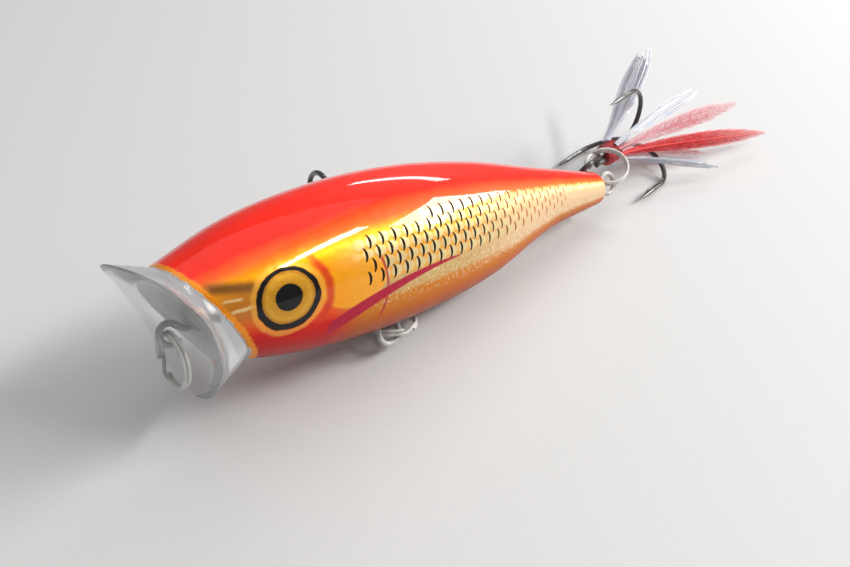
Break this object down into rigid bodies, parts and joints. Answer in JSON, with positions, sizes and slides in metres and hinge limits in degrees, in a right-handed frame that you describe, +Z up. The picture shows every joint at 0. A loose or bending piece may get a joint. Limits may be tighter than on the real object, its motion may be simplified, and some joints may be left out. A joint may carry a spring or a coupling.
{
  "type": "topwater popper lure",
  "caption": "Cup-faced topwater fishing plug on its side, with a through-wire, split rings, treble hooks and a tail dressed in feather and tinsel.",
  "frame": {"origin": "middle of the footprint, on the surface that the plug lies on", "axes": "+X from the nose to the tail (the plug is pitched 9 degrees nose-up along it), +Z up, +Y towards the plug's far, right flank"},
  "size_m": [0.1034, 0.0296, 0.0225],
  "materials": {
    "painted_body": "gloss painted, red back, gold foil flank with black-edged scales, clear coat",
    "clear_lip": "clear moulded, polished",
    "stainless_wire": "bright drawn wire",
    "ballast": "dull cast",
    "split_ring": "bright nickel",
    "hook_wire": "black nickel, glossy",
    "thread": "varnished thread",
    "red_hackle": "dyed feather",
    "pink_hackle": "dyed feather",
    "tinsel": "pearl film strips"
  },
  "bodies": {
    "plug": {"body_half_left": "painted_body", "body_half_right": "painted_body", "cup_lip": "clear_lip", "through_wire": "stainless_wire", "ballast_slug": "ballast"},
    "line_tie_ring": {"line_tie_split_ring": "split_ring"},
    "belly_ring": {"belly_split_ring": "split_ring"},
    "belly_hook": {"belly_hook_double": "hook_wire", "belly_hook_single": "hook_wire"},
    "tail_ring": {"tail_split_ring": "split_ring"},
    "tail_hook": {"tail_hook_double": "hook_wire", "tail_hook_single": "hook_wire", "thread_wrap": "thread", "red_feather": "red_hackle", "pink_feather_upper": "pink_hackle", "pink_feather_lower": "pink_hackle", "tinsel_upper": "tinsel", "tinsel_middle": "tinsel", "tinsel_lower": "tinsel"}
  },
  "joints": [
    {"name": "line_tie_ring_swing", "type": "hinge", "parent": "plug", "child": "line_tie_ring", "pos_m": [-0.04831, -0.00705, 0.01363], "axis": [-0.0364, 0.9726, -0.2297], "range_deg": [-10, 140]},
    {"name": "belly_ring_swing", "type": "hinge", "parent": "plug", "child": "belly_ring", "pos_m": [-0.02349, -0.01073, 0.00267], "axis": [-0.7193, 0.6947, 0], "range_deg": [0, 100]},
    {"name": "belly_hook_swing", "type": "hinge", "parent": "belly_ring", "child": "belly_hook", "pos_m": [-0.02076, -0.0059, 0.00123], "axis": [-0.9502, 0.2871, 0.1215], "range_deg": [0, 90]},
    {"name": "tail_ring_swing", "type": "hinge", "parent": "plug", "child": "tail_ring", "pos_m": [0.01862, -0.00635, 0.00437], "axis": [-0.7193, 0.6947, 0], "range_deg": [-35, 95]},
    {"name": "tail_hook_swing", "type": "hinge", "parent": "tail_ring", "child": "tail_hook", "pos_m": [0.01812, -0.00267, 0.0053], "axis": [-0.5236, -0.7674, -0.37], "range_deg": [-80, 0]}
  ]
}
